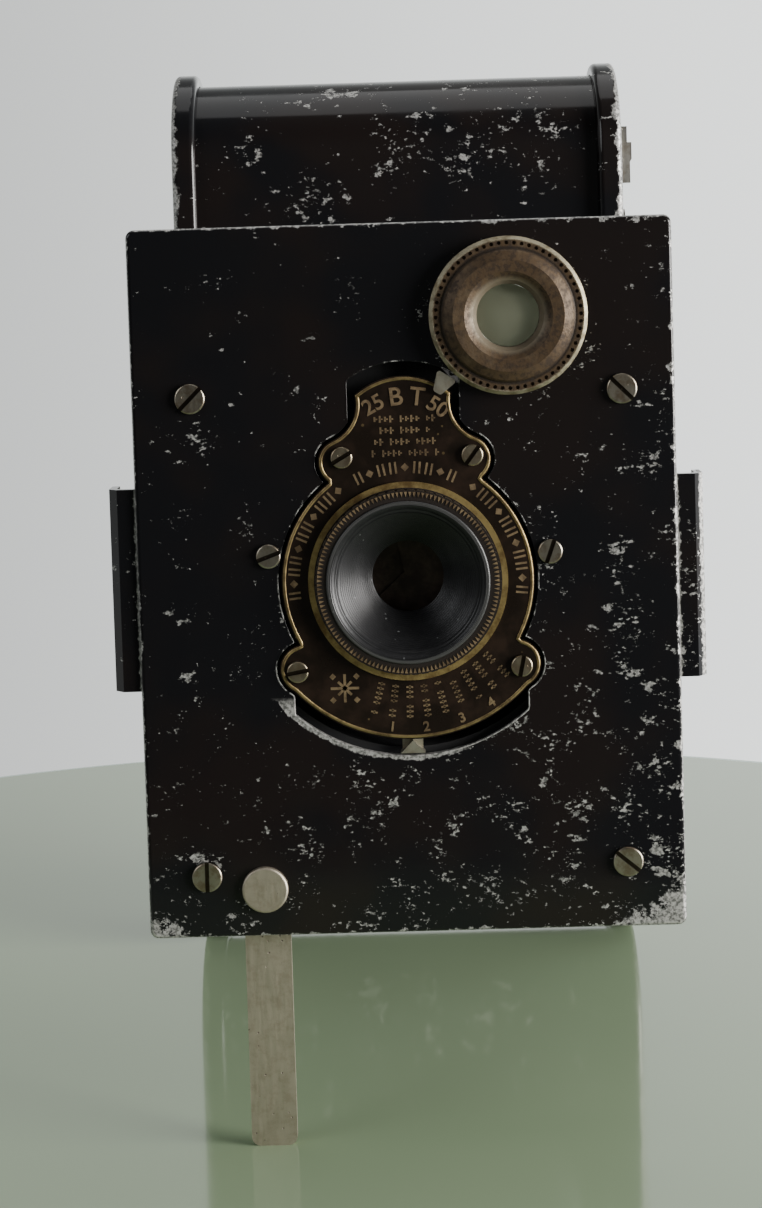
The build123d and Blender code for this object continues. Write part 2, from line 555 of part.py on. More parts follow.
def make_lens():
    cell = disc(7.5, HOUSING_BACK, 13.4) + disc(8.6, HOUSING_BACK, 9.8)
    cell -= disc(5.0, 0, 20)
    cell -= disc(5.6, 9.6, 20)
    nodes["lens_cell"] = cell
    curve = 16.0
    ball = Pos(0, PLATE_Y + 9.75 + curve, LENS_HEIGHT) * Sphere(curve)
    nodes["front_lens"] = disc(5.55, 9.75, 11.4) & ball
    back_ball = Pos(0, PLATE_Y + 12.6 + curve, LENS_HEIGHT) * Sphere(curve)
    nodes["rear_lens"] = disc(5.55, 11.4, 12.9) - back_ball
    nodes["lens_retaining_ring"] = disc(5.6, 12.9, 13.3) - disc(4.9, 12, 14)


def blade_pivot(index):
    angle = radians(90 - 120 * index)
    return (BLADE_PIVOT_RADIUS * cos(angle), BLADE_PIVOT_RADIUS * sin(angle))


def make_blades():
    """Three overlapping blades that swing outwards about their own pins."""
    reach = 4.9
    wedge = make_face(Polyline((-0.3, -0.35), (-1.35, 4.75), (0.0, 9.0), (4.9, 9.0), (9.0, 0.0),
                               (6.0, -2.2), close=True))
    outline = (Circle(reach) & wedge) + Pos(0.3, 6.9) * Rectangle(3.0, 6.0)
    outline += Pos(0, BLADE_PIVOT_RADIUS) * Circle(1.5)
    outline -= Pos(0, BLADE_PIVOT_RADIUS) * Circle(0.55)
    for index in range(3):
        front = 5.35 + 0.3 * index
        nodes[f"shutter_blade_{index + 1}"] = slab(Rot(0, 0, -120 * index) * outline, front, front + 0.15)


def make_levers():
    front, back = LEVER_LAYER
    # Aperture lever: a ring round the hood with a three-cornered pointer below.
    ring = Circle(11.4) + Pos(0, -14.2) * Rectangle(2.2, 8.2)
    lever = slab(ring - Circle(HOOD_TUBE_RADIUS + 0.05), front, back)
    pointer = make_face(Polyline((-1.3, -18.3), (1.3, -18.3), (0, -16.98), close=True))
    nodes["aperture_lever"] = lever + slab(pointer, -0.2, back)

    # Stop wheel: its curved slot narrows as it turns across the optical axis.
    slot_radius = 7.0
    holes = []
    for index in range(6):
        turn = radians(90 + 28.5 - 30 * index)
        place = Pos(slot_radius * cos(turn), slot_radius * sin(turn))
        holes.append(place * Circle(3.0 - 0.36 * index))
    slot = Sketch() + [make_hull(first.edges() + second.edges()) for first, second in zip(holes, holes[1:])]
    wheel = Circle(10.2) - slot - Circle(0.95)
    nodes["stop_wheel"] = slab(Pos(0, STOP_PIVOT_UP) * wheel, 6.7, 6.9)

    # Speed lever: an arm on its own pin with a small knob that runs over the face.
    arm = Circle(1.5) + Pos(0, 4.4) * Rectangle(1.6, 8.8) - Circle(0.85)
    stem = Pos(0, 8.35) * Rectangle(1.4, 0.95)
    knob = make_face(Polyline((-1.2, 8.9), (1.2, 8.9), (0.45, 6.75), (-0.45, 6.75), close=True))
    knob = fillet(knob.vertices(), 0.3)
    turn = Pos(0, SPEED_PIVOT_UP) * Rot(0, 0, -SPEED_ANGLE)
    speed = slab(turn * arm, front, back) + slab(turn * stem, -0.4, back)
    nodes["speed_lever"] = speed + slab(turn * knob, -0.8, -0.3)

    # Release lever: from its pin in the housing, up behind the plate, to a thumb tab.
    elbow = (-13.0, 24.0)
    end = (-22.5, 31.6)
    lever = Pos(*RELEASE_PIVOT) * Circle(1.6) + bar(RELEASE_PIVOT, elbow, 2.0) + bar(elbow, end, 2.0)
    release = slab(lever, 2.1, 2.7) - disc(0.85, 0, 4, *RELEASE_PIVOT)
    tab = Pos(*end) * Rot(0, 0, 141) * Rectangle(3.2, 0.9)
    nodes["release_lever"] = release + slab(tab, 2.1, 6.4)

    spring = bar((-15.6, 5.6), (-13.5, 9.2), 0.3)
    nodes["release_spring"] = slab(spring, 2.1, 3.6)


def bar(start, end, width):
    """A round-ended strip outline between two points."""
    length = ((end[0] - start[0]) ** 2 + (end[1] - start[1]) ** 2) ** 0.5
    middle = ((start[0] + end[0]) / 2, (start[1] + end[1]) / 2)
    angle = degrees(atan2(end[1] - start[1], end[0] - start[0]))
    return Pos(*middle) * Rot(0, 0, angle) * SlotCenterToCenter(length, width)


# ---- finder and foot -----------------------------------------------------------------
FINDER_BOX = 12.4
FINDER_WALL = 0.6
FINDER_BACK = 11.3


def make_finder():
    """Small waist-level finder that turns in the plate: front ring, box, mirror, two lenses."""
    place = Pos(FINDER_RIGHT, 0, FINDER_UP)
    bezel = turned([(3.3, 0.9), (3.3, -1.2), (3.7, -1.75), (4.6, -2.3), (5.8, -2.35), (6.7, -1.9), (7.0, -1.55),
                    (7.9, -1.55), (8.26, -1.2), (8.26, -0.05), (7.9, -0.05), (7.9, 0.9)])
    nodes["finder_bezel"] = place * (bezel - slab(ring_of_notches(7.55, 60), -2, -1.3))

    half = FINDER_BOX / 2
    inner = half - FINDER_WALL
    box = slab(Rectangle(FINDER_BOX, FINDER_BOX), 0.9, FINDER_BACK)
    box -= slab(Rectangle(2 * inner, 2 * inner), 0.9 + FINDER_WALL, FINDER_BACK - FINDER_WALL)
    box -= disc(3.3, 0, 3)
    middle = (0.9 + FINDER_BACK) / 2
    top = slab(Pos(0, half) * Rectangle(8.4, 3), middle - 3.8, middle + 3.8)
    nodes["finder_housing"] = place * (box - top)
    nodes["finder_objective"] = place * (disc(3.28, -0.6, 1.4) & (Pos(0, PLATE_Y + 7.4, LENS_HEIGHT) * Sphere(8.0)))

    mirror_plate = Pos(0, PLATE_Y + middle, LENS_HEIGHT - 0.9) * Rot(45, 0, 0) * Box(2 * inner - 0.2, 11.0, 0.7)
    nodes["finder_mirror"] = place * mirror_plate
    view = slab(Rectangle(8.3, 1.0), middle - 3.7, middle + 3.7)
    view = Pos(0, 0, half - 0.1) * view
    nodes["finder_view_lens"] = place * fillet(view.edges().group_by(Axis.Z)[-1], 0.35)


def make_foot():
    width = 4.9
    length = LENS_HEIGHT + FOOT_UP
    strip = Pos(0, -length / 2) * Rectangle(width, length)
    strip = fillet(strip.vertices().group_by(Axis.Y)[0], 1.0)
    outline = Circle(width / 2) + strip - Circle(1.25)
    nodes["foot"] = slab(Pos(FOOT_RIGHT, FOOT_UP) * outline, 1.75, 2.65)
    head = disc(width / 2, -0.6, 0, FOOT_RIGHT, FOOT_UP)
    head = fillet(head.edges().sort_by(Axis.Y)[0], 0.25)
    nodes["foot_rivet"] = head + disc(1.2, 0, STANDARD_FRONT, FOOT_RIGHT, FOOT_UP)


def write_nodes():
    os.makedirs("parts", exist_ok=True)
    for name, part in nodes.items():
        export_step(part, f"parts/{name}.step")


make_body()
make_side_caps()
make_winding()
make_tongs()
make_front_plate()
make_standard()
make_bellows()
make_shutter_case()
make_hood()
make_lens()
make_blades()
make_levers()
make_finder()
make_foot()
write_nodes()
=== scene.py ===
from math import atan2, cos, hypot, pi, radians, sin, tau

import bmesh
import bpy
from mathutils import Euler, Matrix, Vector


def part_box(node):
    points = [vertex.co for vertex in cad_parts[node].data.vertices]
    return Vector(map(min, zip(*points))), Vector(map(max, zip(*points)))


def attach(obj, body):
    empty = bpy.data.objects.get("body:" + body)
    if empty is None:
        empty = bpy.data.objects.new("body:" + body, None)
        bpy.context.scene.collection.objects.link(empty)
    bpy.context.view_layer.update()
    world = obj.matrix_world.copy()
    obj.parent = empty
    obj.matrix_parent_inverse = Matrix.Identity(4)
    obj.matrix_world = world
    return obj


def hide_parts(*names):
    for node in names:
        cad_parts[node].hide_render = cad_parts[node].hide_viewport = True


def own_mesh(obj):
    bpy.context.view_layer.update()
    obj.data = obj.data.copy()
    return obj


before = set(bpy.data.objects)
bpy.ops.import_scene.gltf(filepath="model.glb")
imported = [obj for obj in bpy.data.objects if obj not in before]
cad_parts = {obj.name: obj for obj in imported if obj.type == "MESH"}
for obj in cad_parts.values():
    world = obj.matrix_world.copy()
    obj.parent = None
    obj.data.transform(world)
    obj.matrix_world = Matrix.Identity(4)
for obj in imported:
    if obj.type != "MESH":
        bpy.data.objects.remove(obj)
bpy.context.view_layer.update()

MM = 0.001

# ---- places read from the frame (metres) ---------------------------------------------
PLATE_LOW, PLATE_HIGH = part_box("front_plate")
HOOD_LOW, HOOD_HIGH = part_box("lens_hood")
CAP_LOW, CAP_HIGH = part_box("left_side_cap")
FINDER_LOW, FINDER_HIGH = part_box("finder_bezel")
LENS_Z = (HOOD_LOW.z + HOOD_HIGH.z) / 2
PLATE_Y = PLATE_LOW.y
BODY_Y = (CAP_LOW.y + CAP_HIGH.y) / 2
BODY_Z = (CAP_LOW.z + CAP_HIGH.z) / 2
FACE_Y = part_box("faceplate")[0].y
# The plate's own half width. Its box is wider, because the finger grips stand out at the sides.
PLATE_HALF_WIDTH = 28.5


# ---- shader nodes --------------------------------------------------------------------
class Shader:
    """One material's node tree, with short calls for the nodes used here. Places are in millimetres."""

    def __init__(self, name):
        self.material = bpy.data.materials.new(name)
        self.material.use_nodes = True
        self.tree = self.material.node_tree
        self.surface = self.tree.nodes["Principled BSDF"]
        coordinates = self.tree.nodes.new("ShaderNodeTexCoord")
        self.place = self.vector("MULTIPLY", coordinates.outputs["Object"], (1000, 1000, 1000))
        split = self.tree.nodes.new("ShaderNodeSeparateXYZ")
        self.tree.links.new(self.place, split.inputs[0])
        self.x, self.y, self.z = split.outputs

    def join(self, value, socket):
        if isinstance(value, bpy.types.NodeSocket):
            self.tree.links.new(value, socket)
        else:
            socket.default_value = value

    def vector(self, operation, first, second):
        node = self.tree.nodes.new("ShaderNodeVectorMath")
        node.operation = operation
        self.join(first, node.inputs[0])
        self.join(second, node.inputs[1])
        return node.outputs[0]

    def math(self, operation, *values):
        node = self.tree.nodes.new("ShaderNodeMath")
        node.operation = operation
        for value, socket in zip(values, node.inputs):
            self.join(value, socket)
        return node.outputs[0]

    def noise(self, size, detail=3.0, roughness=0.55, offset=0.0, stretch=(1, 1, 1)):
        """Cloudy values about 0.5, with features about this many millimetres across."""
        node = self.tree.nodes.new("ShaderNodeTexNoise")
        scaled = self.vector("MULTIPLY", self.place, tuple(axis / size for axis in stretch))
        self.join(self.vector("ADD", scaled, (offset, offset * 0.7, offset * 1.3)), node.inputs["Vector"])
        node.inputs["Scale"].default_value = 1.0
        node.inputs["Detail"].default_value = detail
        node.inputs["Roughness"].default_value = roughness
        return node.outputs["Fac"]

    def cells(self, size, offset=0.0):
        """Distance to the nearest of scattered points about this many millimetres apart."""
        node = self.tree.nodes.new("ShaderNodeTexVoronoi")
        scaled = self.vector("MULTIPLY", self.place, (1 / size, 1 / size, 1 / size))
        self.join(self.vector("ADD", scaled, (offset, offset, offset)), node.inputs["Vector"])
        node.inputs["Scale"].default_value = 1.0
        return node.outputs["Distance"]

    def step(self, value, low, high, start=0.0, end=1.0):
        """A smooth rise from start to end while the value goes from low to high."""
        node = self.tree.nodes.new("ShaderNodeMapRange")
        node.interpolation_type = "SMOOTHSTEP"
        self.join(value, node.inputs["Value"])
        for name, number in (("From Min", low), ("From Max", high), ("To Min", start), ("To Max", end)):
            node.inputs[name].default_value = number
        return node.outputs["Result"]

    def colour(self, first, second, share):
        node = self.tree.nodes.new("ShaderNodeMix")
        node.data_type = "RGBA"
        self.join(share, node.inputs["Factor"])
        for value, socket in ((first, node.inputs["A"]), (second, node.inputs["B"])):
            self.join(value if isinstance(value, bpy.types.NodeSocket) else (*value, 1.0), socket)
        return node.outputs["Result"]

    def length(self, first, second):
        """Length of the hypotenuse over two sides."""
        squares = [self.math("MULTIPLY", side, side) for side in (first, second)]
        return self.math("SQRT", self.math("ADD", *squares))

    def number(self, first, second, share):
        """A value between two numbers by a share from 0 to 1."""
        return self.math("MULTIPLY_ADD", share, second - first, first)

    def most(self, *masks):
        result = masks[0]
        for mask in masks[1:]:
            result = self.math("MAXIMUM", result, mask)
        return result

    def finish(self, colour, metallic, roughness, height=None, depth=0.03):
        """Sets the surface. The height raises the surface by up to depth, in millimetres."""
        surface = self.surface
        self.join(colour if isinstance(colour, bpy.types.NodeSocket) else (*colour, 1.0),
                  surface.inputs["Base Color"])
        self.join(metallic, surface.inputs["Metallic"])
        self.join(roughness, surface.inputs["Roughness"])
        if height is not None:
            bump = self.tree.nodes.new("ShaderNodeBump")
            bump.inputs["Strength"].default_value = 1.0
            bump.inputs["Distance"].default_value = depth * MM
            self.join(height, bump.inputs["Height"])
            self.join(bump.outputs[0], surface.inputs["Normal"])
        return self.material


# ---- materials -----------------------------------------------------------------------
BLACK = (0.006, 0.006, 0.007)


def chips(shader, grain, patch, amount, offset=0.0, slope=0.0):
    """Scattered ragged flakes of missing paint, gathered in patches."""
    fine = shader.noise(grain, 5.0, 0.68, offset, (0.75, 1, 1.15))
    gather = shader.noise(patch, 2.0, 0.5, offset + 7.3)
    level = shader.math("ADD", shader.math("MULTIPLY_ADD", gather, 0.55, fine), slope)
    return shader.step(level, 1.02 - amount, 1.03 - amount)


def specks(shader, size, amount, offset=0.0):
    """Small separate round spots."""
    distance = shader.cells(size, offset)
    choose = shader.noise(size * 2.3, 1.0, 0.5, offset + 3.1)
    near = shader.step(distance, 0.10, 0.17, 1.0, 0.0)
    return shader.math("MULTIPLY", near, shader.step(choose, 0.66 - amount, 0.69 - amount))


def enamel(shader, worn):
    """Gloss black stove enamel with bare metal where the worn mask is 1."""
    smear = shader.noise(9.0, 3.0, 0.6, 2.0)
    gloss = shader.step(smear, 0.35, 0.75, 0.10, 0.20)
    rough = shader.math("ADD", gloss, shader.math("MULTIPLY", worn, 0.34))
    tone = shader.noise(0.35, 4.0, 0.7, 5.0)
    metal = shader.colour((0.13, 0.13, 0.125), (0.52, 0.51, 0.49), shader.step(tone, 0.38, 0.60))
    shade = shader.noise(14.0, 2.0, 0.5, 1.0)
    black = shader.colour(BLACK, (0.010, 0.0075, 0.007), shader.step(shade, 0.4, 0.65))
    ripple = shader.math("MULTIPLY", shader.noise(1.8, 2.0, 0.5, 4.0), 0.05)
    height = shader.math("SUBTRACT", ripple, worn)
    colour = shader.colour(black, metal, worn)
    shader.surface.inputs["Specular IOR Level"].default_value = 0.36
    return shader.finish(colour, shader.math("MULTIPLY", worn, 0.55), rough, height, 0.03)


def plate_enamel():
    """Front plate: scattered chips, worn edges, and one corner rubbed bare."""
    shader = Shader("plate_enamel")
    half_width = PLATE_HALF_WIDTH
    half_height = (PLATE_HIGH.z - PLATE_LOW.z) / 2 / MM
    centre = (PLATE_HIGH.z + PLATE_LOW.z) / 2 / MM
    across = shader.math("ABSOLUTE", shader.x)
    up = shader.math("SUBTRACT", shader.z, centre)
    to_side = shader.math("SUBTRACT", half_width, across)
    to_end = shader.math("SUBTRACT", half_height, shader.math("ABSOLUTE", up))
    to_edge = shader.math("ABSOLUTE", shader.math("MINIMUM", to_side, to_end))
    # Wear runs further in along the right edge than along the left.
    reach = shader.step(shader.x, -28.0, 28.0, 0.45, 1.3)
    ragged = shader.math("MULTIPLY", shader.step(shader.noise(1.6, 5.0, 0.7, 6.0), 0.48, 0.80), reach)
    edge = shader.step(shader.math("SUBTRACT", to_edge, ragged), 0.04, 0.16, 1.0, 0.0)
    corners = []
    for side, noise_offset, extent in ((1, 11.0, -1.2), (-1, 21.0, -3.4)):
        from_side = shader.math("MULTIPLY_ADD", shader.x, -side, half_width)
        from_bottom = shader.math("MULTIPLY_ADD", up, 1.25, half_height * 1.25)
        away = shader.math("MULTIPLY_ADD", from_side, 0.75, from_bottom)
        rubbed = shader.math("MULTIPLY_ADD", shader.noise(0.9, 5.0, 0.75, noise_offset), 13.0, extent)
        corners.append(shader.step(shader.math("SUBTRACT", away, rubbed), -0.3, 0.3, 1.0, 0.0))
    # The finger grips stand out past the plate and are bare along their outer edges.
    uneven_side = shader.math("ADD", across, shader.noise(1.1, 4.0, 0.7, 8.0))
    reach_out = shader.math("MULTIPLY_ADD", shader.x, 0.012, uneven_side)
    grip = shader.step(reach_out, half_width + 3.15, half_width + 3.3)
    # A worn band runs along the lower left edge of the opening.
    wander = shader.math("MULTIPLY_ADD", shader.noise(1.0, 4.0, 0.7, 13.0), -1.2, 0.6)
    close = shader.step(shader.math("ADD", lens_distance(shader), wander), 18.95, 19.1, 1.0, 0.0)
    low_down = shader.step(up, -13.0, -12.0, 1.0, 0.0)
    not_right = shader.step(shader.x, 3.5, 6.5, 1.0, 0.0)
    band = shader.math("MULTIPLY", close, shader.math("MULTIPLY", low_down, not_right))
    # More paint is missing towards the lower right.
    slope = shader.math("MULTIPLY_ADD", shader.x, 0.0007, shader.math("MULTIPLY", up, -0.0009))
    flakes = chips(shader, 1.15, 4.5, 0.060, 1.5, slope)
    tiny = chips(shader, 0.5, 4.0, 0.062, 4.5, slope)
    return enamel(shader, shader.most(edge, *corners, grip, band, flakes, tiny))


def worn_edge():
    """Turned edge of the opening: rubbed bare in places, most of all low down."""
    shader = Shader("worn_edge")
    low = shader.step(shader.z, LENS_Z / MM - 14.0, LENS_Z / MM - 6.0, 0.16, 0.0)
    level = shader.math("ADD", shader.noise(2.4, 5.0, 0.7, 17.0), low)
    return enamel(shader, shader.step(level, 0.50, 0.58))


def tube_enamel():
    """Body tube: wide clusters of flakes."""
    shader = Shader("tube_enamel")
    flakes = chips(shader, 1.5, 9.0, 0.095, 3.0)
    tiny = chips(shader, 0.7, 8.0, 0.07, 6.0)
    return enamel(shader, shader.most(flakes, tiny))


def cap_enamel():
    """Side caps: the rolled rim's outer half is worn to bare metal."""
    shader = Shader("cap_enamel")
    straight = (CAP_HIGH.z - CAP_LOW.z - (CAP_HIGH.y - CAP_LOW.y)) / 2 / MM
    from_middle = shader.math("ABSOLUTE", shader.math("SUBTRACT", shader.z, BODY_Z / MM))
    beyond = shader.math("MAXIMUM", shader.math("SUBTRACT", from_middle, straight), 0.0)
    back = shader.math("SUBTRACT", shader.y, BODY_Y / MM)
    radius = shader.length(beyond, back)
    wander = shader.math("MULTIPLY_ADD", shader.noise(2.2, 5.0, 0.7, 4.0), 3.0, -1.5)
    on_rim = shader.step(shader.math("ADD", radius, wander), 11.7, 12.0)
    outward = shader.step(shader.math("ADD", shader.math("ABSOLUTE", shader.x), wander), 29.3, 29.6)
    rim = shader.math("MULTIPLY", on_rim, outward)
    return enamel(shader, shader.most(rim, chips(shader, 1.4, 10.0, 0.075, 8.0)))


def nickel(name, colour=(0.62, 0.60, 0.55), stain=0.35, rough=0.34, slot_shade_from=None):
    """Worn nickel plate: fine scratches, dark pits and brown stains.

    Screw slots get painted shade: it starts this many millimetres behind the front plate's face.
    """
    shader = Shader(name)
    scratch = shader.noise(0.35, 3.0, 0.6, 2.0, (1, 1, 0.12))
    pits = specks(shader, 0.75, 0.15, 5.0)
    cloud = shader.step(shader.noise(1.3, 5.0, 0.7, 8.0), 0.42, 0.66, 0.0, stain)
    base = shader.colour(colour, (0.27, 0.20, 0.13), cloud)
    base = shader.colour(base, (0.06, 0.045, 0.035), shader.math("MULTIPLY", pits, 0.85))
    if slot_shade_from is not None:
        # Painted shade: the colour darkens from this depth on into the screw slots.
        depth = shader.math("SUBTRACT", shader.y, PLATE_Y / MM + slot_shade_from)
        base = shader.colour(base, (0.035, 0.025, 0.018), shader.step(depth, 0.0, 0.12, 0.0, 0.93))
    roughness = shader.math("MULTIPLY_ADD", scratch, 0.22, rough - 0.08)
    height = shader.math("SUBTRACT", shader.math("MULTIPLY", scratch, 0.25), pits)
    metallic = shader.math("MULTIPLY_ADD", pits, -0.6, 1.0)
    return shader.finish(base, metallic, roughness, height, 0.02)


def tong_steel():
    shader = Shader("tong_steel")
    brushed = shader.noise(0.5, 4.0, 0.6, 3.0, (1, 1, 0.1))
    tarnish = shader.step(shader.noise(4.0, 4.0, 0.6, 6.0), 0.42, 0.7)
    base = shader.colour((0.46, 0.45, 0.43), (0.20, 0.16, 0.12), shader.math("MULTIPLY", tarnish, 0.6))
    return shader.finish(base, 1.0, shader.math("MULTIPLY_ADD", brushed, 0.25, 0.28), brushed, 0.01)


def matt_black(name, colour=(0.016, 0.016, 0.017), rough=0.62):
    """Thin matt paint with a fine grain and rubbed grey specks."""
    shader = Shader(name)
    fine = shader.noise(0.35, 4.0, 0.6, 3.0)
    rubbed = specks(shader, 1.4, 0.02, 9.0)
    base = shader.colour(colour, (0.2, 0.2, 0.19), shader.math("MULTIPLY", rubbed, 0.6))
    return shader.finish(base, 0.0, shader.math("MULTIPLY_ADD", fine, 0.2, rough - 0.1), fine, 0.012)


def face_lacquer():
    """Faceplate: warm brown-black lacquer with small rubbed spots."""
    shader = Shader("face_lacquer")
    tone = shader.noise(3.0, 4.0, 0.6, 5.0)
    base = shader.colour((0.009, 0.006, 0.004), (0.020, 0.012, 0.008), shader.step(tone, 0.4, 0.7))
    worn = specks(shader, 1.1, 0.03, 4.0)
    base = shader.colour(base, (0.28, 0.20, 0.10), shader.math("MULTIPLY", worn, 0.7))
    fine = shader.noise(0.3, 3.0, 0.6, 1.0)
    rough = shader.math("MULTIPLY_ADD", tone, 0.15, 0.22)
    shader.surface.inputs["Specular IOR Level"].default_value = 0.3
    return shader.finish(base, shader.math("MULTIPLY", worn, 0.8), rough, fine, 0.006)


def gilt(name, bright=(0.58, 0.42, 0.17), dull=(0.22, 0.15, 0.07), rough=0.36):
    """Old gilt brass, brown in places."""
    shader = Shader(name)
    cloud = shader.step(shader.noise(1.6, 4.0, 0.65, 7.0), 0.38, 0.66)
    base = shader.colour(bright, dull, cloud)
    fine = shader.noise(0.2, 3.0, 0.6, 2.0)
    return shader.finish(base, 0.9, shader.math("MULTIPLY_ADD", fine, 0.25, rough - 0.1), fine, 0.008)


def lens_distance(shader):
    """Distance from the optical axis, in millimetres."""
    up = shader.math("SUBTRACT", shader.z, LENS_Z / MM)
    return shader.length(shader.x, up)


def ring_lacquer():
    """Ring round the hood: black ground, with a gilt line round its outer step."""
    shader = Shader("ring_lacquer")
    line = shader.step(lens_distance(shader), 9.86, 9.92)
    cloud = shader.step(shader.noise(1.8, 4.0, 0.65, 7.0), 0.38, 0.68)
    gold = shader.colour((0.56, 0.42, 0.17), (0.26, 0.17, 0.07), cloud)
    base = shader.colour((0.014, 0.010, 0.008), gold, line)
    fine = shader.noise(0.2, 3.0, 0.6, 2.0)
    rough = shader.math("MULTIPLY_ADD", fine, 0.2, 0.3)
    return shader.finish(base, shader.math("MULTIPLY", line, 0.9), rough, fine, 0.008)


def hood_black():
    """Turned black hood: fine rings round the optical axis, dust, and a paler thin ring round the lip's
    front.
    """
    shader = Shader("hood_black")
    radius = lens_distance(shader)
    rings = shader.math("SINE", shader.math("MULTIPLY", radius, 34.0))
    uneven = shader.noise(0.8, 3.0, 0.6, 3.0)
    dust = specks(shader, 0.75, 0.07, 2.0)
    base = shader.colour((0.005, 0.005, 0.006), (0.012, 0.012, 0.013), uneven)
    base = shader.colour(base, (0.24, 0.25, 0.25), shader.math("MULTIPLY", dust, 0.5))
    edge = shader.math("MULTIPLY", shader.step(radius, 8.15, 8.25), shader.step(radius, 8.5, 8.6, 1.0, 0.0))
    base = shader.colour(base, (0.08, 0.08, 0.078), shader.math("MULTIPLY", edge, 0.6))
    rough = shader.math("MULTIPLY_ADD", rings, 0.04, shader.number(0.30, 0.42, uneven))
    shader.surface.inputs["Specular IOR Level"].default_value = 0.55
    return shader.finish(base, 0.15, rough, shader.math("MULTIPLY", rings, 0.5), 0.014)


def finder_bronze():
    """Finder ring: brown dome, yellow-silver rim."""
    shader = Shader("finder_bronze")
    centre_x = (FINDER_LOW.x + FINDER_HIGH.x) / 2 / MM
    centre_z = (FINDER_LOW.z + FINDER_HIGH.z) / 2 / MM
    across = shader.math("SUBTRACT", shader.x, centre_x)
    up = shader.math("SUBTRACT", shader.z, centre_z)
    radius = shader.length(across, up)
    wander = shader.math("MULTIPLY_ADD", shader.noise(1.2, 4.0, 0.65, 3.0), 0.5, -0.25)
    spot = shader.step(shader.noise(0.6, 4.0, 0.65, 5.0), 0.42, 0.62)
    brown = shader.colour((0.078, 0.050, 0.027), (0.040, 0.026, 0.016), spot)
    cloud = shader.step(shader.noise(2.6, 4.0, 0.65, 6.0), 0.48, 0.75, 0.0, 0.7)
    brown = shader.colour(brown, (0.13, 0.092, 0.054), cloud)
    inner = shader.step(radius, 3.6, 4.3, 0.7, 0.0)
    brown = shader.colour(brown, (0.20, 0.17, 0.12), inner)
    rim_spots = shader.step(shader.noise(1.0, 4.0, 0.6, 2.0), 0.45, 0.7)
    rim = shader.colour((0.38, 0.34, 0.24), (0.19, 0.155, 0.095), rim_spots)
    on_rim = shader.step(shader.math("ADD", radius, wander), 7.75, 7.95)
    groove = shader.math("MULTIPLY", shader.step(radius, 6.75, 6.95), shader.step(radius, 7.1, 7.3, 1.0, 0.0))
    base = shader.colour(brown, rim, on_rim)
    base = shader.colour(base, (0.02, 0.015, 0.012), shader.math("MULTIPLY", groove, 0.8))
    fine = shader.noise(0.25, 4.0, 0.6, 1.0)
    metallic = shader.number(0.35, 0.9, on_rim)
    shader.surface.inputs["Specular IOR Level"].default_value = 0.35
    return shader.finish(base, metallic, shader.math("MULTIPLY_ADD", spot, 0.12, 0.46), fine, 0.03)


def blade_steel():
    shader = Shader("blade_steel")
    cloud = shader.noise(1.6, 4.0, 0.6, 3.0)
    base = shader.colour((0.040, 0.028, 0.020), (0.085, 0.062, 0.045), shader.step(cloud, 0.35, 0.7))
    fine = shader.noise(0.2, 3.0, 0.6, 2.0)
    return shader.finish(base, 0.5, shader.math("MULTIPLY_ADD", cloud, 0.2, 0.36), fine, 0.01)


def bellows_leather():
    """Thin black leather: pebbled grain, greyer in cloudy patches."""
    shader = Shader("bellows_leather")
    grain = shader.cells(0.55, 2.0)
    cloud = shader.noise(6.0, 4.0, 0.6, 5.0)
    base = shader.colour((0.013, 0.012, 0.012), (0.035, 0.032, 0.030), shader.step(cloud, 0.4, 0.7))
    return shader.finish(base, 0.0, shader.math("MULTIPLY_ADD", cloud, 0.25, 0.45), grain, 0.06)


def glass(name, tint, rough=0.04, transmission=1.0):
    shader = Shader(name)
    dust = specks(shader, 0.8, 0.06, 3.0)
    base = shader.colour(tint, (0.75, 0.76, 0.72), shader.math("MULTIPLY", dust, 0.4))
    shader.surface.inputs["Transmission Weight"].default_value = transmission
    shader.surface.inputs["IOR"].default_value = 1.5
    smear = shader.noise(1.5, 3.0, 0.6, 4.0)
    return shader.finish(base, 0.0, shader.math("MULTIPLY_ADD", smear, 0.08, rough), smear, 0.004)


def mirror_silver():
    shader = Shader("mirror_silver")
    fog = shader.step(shader.noise(2.5, 4.0, 0.6, 2.0), 0.45, 0.75)
    base = shader.colour((0.80, 0.84, 0.78), (0.45, 0.44, 0.36), fog)
    return shader.finish(base, 1.0, shader.math("MULTIPLY_ADD", fog, 0.2, 0.06), fog, 0.002)


def red_celluloid():
    shader = Shader("red_celluloid")
    cloud = shader.noise(2.0, 3.0, 0.6, 1.0)
    base = shader.colour((0.28, 0.010, 0.006), (0.16, 0.006, 0.004), cloud)
    return shader.finish(base, 0.0, shader.math("MULTIPLY_ADD", cloud, 0.15, 0.12), cloud, 0.01)


